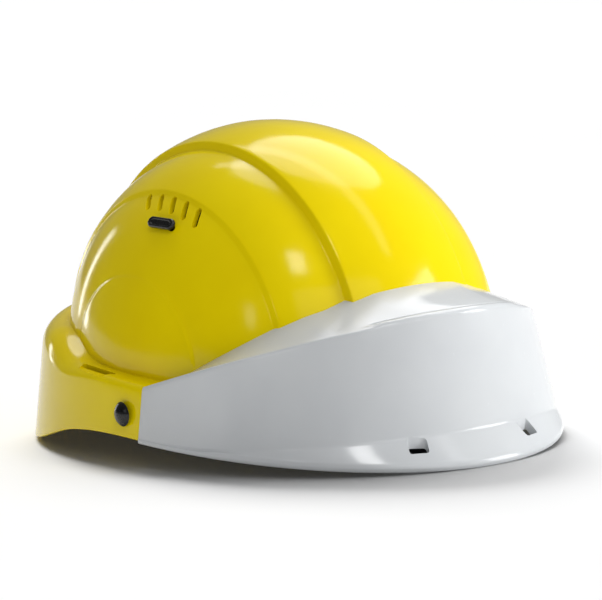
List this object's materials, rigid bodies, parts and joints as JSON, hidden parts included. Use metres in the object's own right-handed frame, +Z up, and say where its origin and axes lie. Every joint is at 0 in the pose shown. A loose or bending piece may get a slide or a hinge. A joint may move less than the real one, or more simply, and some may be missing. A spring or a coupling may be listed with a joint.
{
  "type": "hard hat",
  "caption": "Safety helmet with a stepped dome, ledge and nape skirt, a brow casing that stows a swing-down clear shield, side vent sliders and a dial-adjusted headband.",
  "frame": {"origin": "on the table below the middle of the hat's bounding box, as the hat stands on its brim and nape", "axes": "+Z up, the wearer faces -Y and their right side is -X; the brim's own plane is tipped 5.8 degrees nose down about X"},
  "size_m": [0.2382, 0.321, 0.1604],
  "materials": {
    "shell_yellow": "glossy moulded",
    "casing_white": "glossy moulded",
    "black_plastic": "satin moulded",
    "washer_nylon": "satin",
    "steel": "zinc plated",
    "clear_lens": "clear polycarbonate",
    "arm_grey": "satin moulded",
    "band_grey": "satin moulded",
    "webbing": "woven polyester",
    "foam_fabric": "brushed knit over foam"
  },
  "bodies": {
    "hat": {"shell": "shell_yellow", "front_casing": "casing_white", "casing_pivot_right": "black_plastic", "casing_pivot_left": "black_plastic", "pivot_spacer_right": "washer_nylon", "pivot_spacer_left": "washer_nylon", "pivot_washer_right": "steel", "pivot_washer_left": "steel", "pivot_clip_right": "steel", "pivot_clip_left": "steel", "shutter_guide_right": "band_grey", "shutter_guide_left": "band_grey", "headband": "band_grey", "sweatband": "foam_fabric", "suspension_keys": "band_grey", "cradle_strap_middle": "webbing", "cradle_strap_right": "webbing", "cradle_strap_left": "webbing", "crown_pad": "foam_fabric", "ratchet_housing": "band_grey", "ratchet_cover": "band_grey", "nape_pad": "foam_fabric", "nape_hangers": "band_grey"},
    "visor": {"visor_lens": "clear_lens", "visor_arm_right": "arm_grey", "visor_arm_left": "arm_grey", "arm_screws_right": "steel", "arm_screws_left": "steel", "visor_grip": "black_plastic"},
    "shutter_right": {"vent_shutter_right": "black_plastic", "shutter_knob_right": "black_plastic"},
    "shutter_left": {"vent_shutter_left": "black_plastic", "shutter_knob_left": "black_plastic"},
    "strap_right": {"rear_strap_right": "band_grey"},
    "strap_left": {"rear_strap_left": "band_grey"},
    "ratchet": {"ratchet_knob": "black_plastic", "pinion_gear": "black_plastic", "knob_screw": "steel"}
  },
  "joints": [
    {"name": "visor_swing", "type": "hinge", "parent": "hat", "child": "visor", "pos_m": [0, -0.01148, 0.02746], "axis": [1, 0, 0], "range_deg": [0, 48]},
    {"name": "vent_slide_right", "type": "hinge", "parent": "hat", "child": "shutter_right", "pos_m": [0, 0.01136, 0.04475], "axis": [1, 0, 0], "range_deg": [0, 4]},
    {"name": "vent_slide_left", "type": "hinge", "parent": "hat", "child": "shutter_left", "pos_m": [0, 0.01136, 0.04475], "axis": [1, 0, 0], "range_deg": [0, 4]},
    {"name": "ratchet_turn", "type": "hinge", "parent": "hat", "child": "ratchet", "pos_m": [0, 0.10347, 0.0336], "axis": [0, 0.9953, 0.0966], "range_deg": [-60, 60]},
    {"name": "strap_right_slide", "type": "hinge", "parent": "hat", "child": "strap_right", "pos_m": [0, 0.02185, 0.02567], "axis": [0, -0.0966, 0.9953], "range_deg": [-3.8, 3.8]},
    {"name": "strap_left_slide", "type": "hinge", "parent": "hat", "child": "strap_left", "pos_m": [0, 0.02185, 0.02567], "axis": [0, -0.0966, 0.9953], "range_deg": [-3.8, 3.8]}
  ],
  "couplings": [
    {"joint": "strap_right_slide", "follows": "ratchet_turn", "ratio": -0.062344},
    {"joint": "strap_left_slide", "follows": "ratchet_turn", "ratio": 0.062344}
  ]
}
